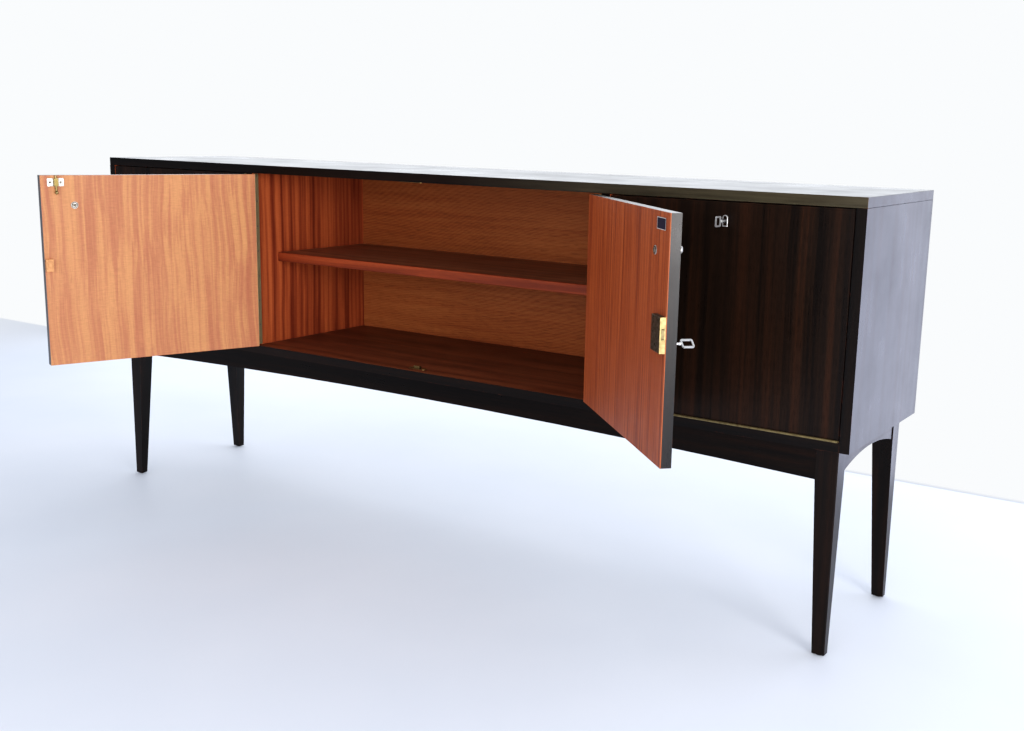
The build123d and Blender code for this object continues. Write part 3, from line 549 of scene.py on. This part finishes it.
def dress_fronts():
    """The four fronts: dark outside, mahogany inside."""
    fronts = {"left_door": (-LEFT_OPEN, 1.7, "left_door"),
              "right_door": (RIGHT_OPEN, 6.1, "right_door"),
              "flap": (0.0, 8.4, "right_door"),
              "side_door": (0.0, 9.2, "divider")}
    for name, (turn, seed, kind) in fronts.items():
        # the grain is drawn as if the door were shut, so it turns back by the door's angle
        face = (dark_look, "z", -turn, seed, FRONT_GLOW)
        if turn:
            outward = Matrix.Rotation(math.radians(turn), 3, "Z") @ Vector((0, -1, 0))
            edge = (dark_look, "z", -turn, seed)
            board = veneered(f"dark_{name}", face, edge, tuple(outward), iors=(FRONT_IOR, EDGE_IOR))
        else:
            board = wood(f"dark_{name}", FRONT_IOR, *face)
        dress(board, f"{name}_panel")
        dress(wood(f"mahogany_{name}", VENEER_IOR, mahogany_look, kind, "z", -turn, seed / 2),
              f"{name}_inner_veneer")
        soften(ARRIS, f"{name}_panel")


def dress_metal():
    """Hinges, locks, keys, knobs and screws."""
    brass = metal("brass", (0.37, 0.285, 0.125), (0.19, 0.135, 0.065), 0.36, 0.6)
    # brass, tinted towards the door's mahogany as a painted reflection of the wood round the keep
    keep = metal("keep_brass_wood_reflection", (0.62, 0.30, 0.13), (0.42, 0.19, 0.09), 0.5, 0.6, 0.6)
    # lit and shaded copies of one brass, as painted light: the door hinges' leaves are painted lighter
    # and the flap hinge darker, and the left hinge's frame leaf and pin, past x = -0.3, lighter again
    leaf = metal("lit_hinge_brass", (0.46, 0.42, 0.24), (0.26, 0.22, 0.12), 0.5, 0.6, 0.5)
    hinge = metal("hinge_brass", (0.24, 0.19, 0.09), (0.11, 0.08, 0.04), 0.45, 0.8, 0.7,
                  ((-1.0, 0.0, 0.0), 0.3, (0.40, 0.37, 0.22)))
    nickel = metal("nickel", (0.66, 0.66, 0.66), (0.36, 0.35, 0.33), 0.32, 0.6, 0.7)
    knob = metal("knob_nickel", (0.52, 0.51, 0.49), (0.28, 0.26, 0.22), 0.38, 0.7, 0.8)
    steel = metal("bronzed_steel", (0.115, 0.088, 0.055), (0.055, 0.042, 0.030), 0.48, 0.8)
    zinc = metal("screw_steel", (0.34, 0.32, 0.29), (0.14, 0.12, 0.10), 0.40, 0.7)
    dress(brass, "rim_lock_forend", "top_strike", "floor_catch", "surface_bolt_rod",
          "shelf_pins", "flap_stays", "stay_keepers", "flap_lock_bolt")
    dress(keep, "lock_keep")
    dress(leaf, "left_door_hinge_leaf", "right_door_hinge_leaf", "side_door_hinge_leaf")
    dress(hinge, "hinge_frame_leaves", "hinge_pins", "flap_hinge_leaf", "rim_lock_bolt")
    dress(nickel, "right_door_key", "flap_key", "flap_escutcheon")
    dress(knob, "left_door_knob", "right_door_knob", "side_door_knob")
    dress(steel, "rim_lock_case", "flap_lock_case")
    dress(zinc, "left_door_hinge_screws", "right_door_hinge_screws", "flap_hinge_screws",
          "side_door_hinge_screws", "hinge_frame_screws", "frame_screws")
    dress(rubber("glide"), "foot_glides")
    dress(label_ink("label_blank", (0.006, 0.007, 0.022), (0.010, 0.012, 0.034)), "label_plate")
    soften(FINE_ARRIS, "rim_lock_forend", "rim_lock_case", "surface_bolt_plate", "right_door_key",
           "flap_key", "lock_keep", "floor_catch", "top_strike", "label_plate")


# ---- small hardware added on the doors -------------------------------------------------------------

class Door:
    """A centre door's own directions, so that its hardware can be drawn as if it were shut."""

    def __init__(self, body, joint, degrees):
        place = next(Vector(j["pos_m"]) for j in frame["joints"] if j["name"] == joint)
        self.body = body
        self.turn = Matrix.Translation(place) @ Matrix.Rotation(math.radians(degrees), 4, "Z")
        self.turn = self.turn @ Matrix.Translation(-place)
        self.inward = self.turn.to_3x3() @ Vector((0, 1, 0))

    def corners(self, name):
        """A node's lowest and highest corners with the door shut."""
        back = self.turn.inverted()
        points = [back @ v.co for v in nodes[name].data.vertices]
        return [Vector([pick(p[i] for p in points) for i in range(3)]) for pick in (min, max)]

    def on_face(self, x, y, z, turn=0.0):
        """A place on the inner face, with its Z pointing into the room and its X turned."""
        out = Matrix.Rotation(math.radians(-90), 4, "X") @ Matrix.Rotation(math.radians(turn), 4, "Z")
        return self.turn @ Matrix.Translation((x, y, z)) @ out

    def fix(self, name, shape, material, slot):
        """Make a piece from a bmesh, and let it ride on the door."""
        mesh = bpy.data.meshes.new(name)
        bmesh.ops.recalc_face_normals(shape, faces=shape.faces)
        shape.to_mesh(mesh)
        shape.free()
        mesh.materials.append(material)
        piece = bpy.data.objects.new(name, mesh)
        bpy.context.scene.collection.objects.link(piece)
        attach(piece, self.body)


def circle(radius, count=28, start=0.0, sweep=2 * math.pi, closed=True):
    """Points round an arc."""
    steps = count if closed else count - 1
    angles = [start + sweep * i / steps for i in range(count)]
    return [Vector((radius * math.cos(a), radius * math.sin(a))) for a in angles]


def add_solid(shape, outline, levels, place):
    """A closed solid from one outline at several (height, scale) levels."""
    middle = sum(outline, Vector((0, 0))) / len(outline)
    rings = [[shape.verts.new(place @ (middle + (p - middle) * scale).to_3d() + lifted(place, height))
              for p in outline] for height, scale in levels]
    for low, high in zip(rings, rings[1:]):
        for i, corner in enumerate(low):
            j = (i + 1) % len(low)
            shape.faces.new((corner, low[j], high[j], high[i]))
    shape.faces.new(rings[0][::-1])
    shape.faces.new(rings[-1])


def lifted(place, height):
    """A step off a place, along its own Z."""
    return place.to_3x3() @ Vector((0, 0, height))


def add_ring(shape, outer, inner, low, high, place):
    """A flat ring between two outlines with as many points."""
    rings = [[shape.verts.new(place @ p.to_3d() + lifted(place, height)) for p in line]
             for line, height in ((outer, low), (outer, high), (inner, high), (inner, low))]
    for first, second in zip(rings, rings[1:] + rings[:1]):
        for i, corner in enumerate(first):
            j = (i + 1) % len(first)
            shape.faces.new((corner, first[j], second[j], second[i]))


def add_slotted_head(shape, place, radius, height):
    """A domed screw head: a round base, and two halves with the slot between them."""
    base = height * 0.35
    add_solid(shape, circle(radius), ((0, 1), (base, 1)), place)
    start = math.asin(SCREW_SLOT / radius)
    for turn in (0, math.pi):
        half = circle(radius * 0.98, 12, turn + start, math.pi - 2 * start, closed=False)
        add_solid(shape, half, ((base, 1), (height * 0.65, 0.94), (height, 0.72)), place)


def rectangle(wide, high, inset=0.0):
    """The corners of a rectangle about the middle."""
    x, y = wide / 2 - inset, high / 2 - inset
    return [Vector(p) for p in ((-x, -y), (x, -y), (x, y), (-x, y))]


def add_hardware():
    """Slotted screws, the knob washers' cups, whose dark metal also paints the washers' contact shadow,
    and the label's rim.
    """
    left = Door("left_door", "left_door_hinge", -LEFT_OPEN)
    right = Door("right_door", "right_door_hinge", RIGHT_OPEN)
    screw = metal("slotted_screw", (0.20, 0.18, 0.14), (0.09, 0.075, 0.05), 0.42, 0.7, 0.9)

    low, high = left.corners("surface_bolt_plate")
    middle = (low + high) / 2
    face = low.y + BOLT_PLATE_T
    level = left.inward.dot(left.turn @ Vector((middle.x, face, middle.z))) + FINE_ARRIS
    plate = metal("bolt_nickel", (0.62, 0.61, 0.58), (0.40, 0.38, 0.34), 0.36, 0.5, 0.7,
                  (tuple(left.inward), level, (0.30, 0.22, 0.07)))
    dress(plate, "surface_bolt_plate")
    shape = bmesh.new()
    for side, turn in ((-1, 20), (1, -35)):
        spot = left.on_face(middle.x + side * BOLT_SCREW_OUT, face, middle.z, turn)
        add_slotted_head(shape, spot, *BOLT_SCREW)
    left.fix("bolt_plate_screws", shape, screw, "steel")

    cup_outer, cup_inner, cup_height = KNOB_SHADOW_CUP
    for door, turn in ((left, 62), (right, 15)):
        low, high = door.corners(f"{door.body}_knob")
        middle = (low + high) / 2
        spot = door.on_face(middle.x, high.y, middle.z, turn)
        shape = bmesh.new()
        add_slotted_head(shape, spot, *KNOB_SCREW)
        # the cup's dark ring is partly a washer's rim and partly painted contact shadow
        cup = door.on_face(middle.x, high.y - KNOB_SCREW_H, middle.z)
        add_ring(shape, circle(cup_outer), circle(cup_inner), 0.0, cup_height, cup)
        door.fix(f"{door.body}_knob_screw", shape, screw, "nickel")

    low, high = right.corners("rim_lock_case")
    shape = bmesh.new()
    for side in (-1, 1):
        z = (low.z + high.z) / 2 + side * (high.z - low.z) * LOCK_SCREW_ROW
        for share in LOCK_SCREW_COLUMNS:
            x = low.x + (high.x - low.x) * share
            add_slotted_head(shape, right.on_face(x, high.y, z, 30 * side), *LOCK_SCREW)
    right.fix("rim_lock_screws", shape, nodes["rim_lock_case"].data.materials[0], "steel")

    low, high = right.corners("label_plate")
    middle = (low + high) / 2
    wide, tall = high.x - low.x, high.z - low.z
    spot = right.on_face(middle.x, high.y, middle.z)
    shape = bmesh.new()
    add_ring(shape, rectangle(wide, tall), rectangle(wide, tall, LABEL_RIM), 0.0, LABEL_RIM_H, spot)
    border = label_ink("label_border", (0.42, 0.40, 0.37), (0.52, 0.50, 0.46))
    right.fix("label_rim", shape, border, "label")


# ---- the scene -------------------------------------------------------------------------------------

add_camera()
add_world()
add_floor()
add_wall("left", -0.9, 4.2, 30, (0.90, 0.94, 1.0), 22, (0.92, 0.95, 1.0))
add_wall("right", 2.6, 2.8, 18, (0.80, 0.84, 1.0), 46, (0.70, 0.735, 1.0))
add_panel("right_window", (3.6, -1.7, 1.1), (-0.7, -0.1, 0.6), (1.4, 1.7), 84, (1.0, 0.97, 0.96))
add_panel("front_window", (1.6, -4.2, 1.2), (-0.2, 0.0, 0.6), (3.2, 2.0), 80, (1.0, 0.98, 0.97))
dress_case()
dress_fronts()
dress_metal()
add_hardware()
set_tones()
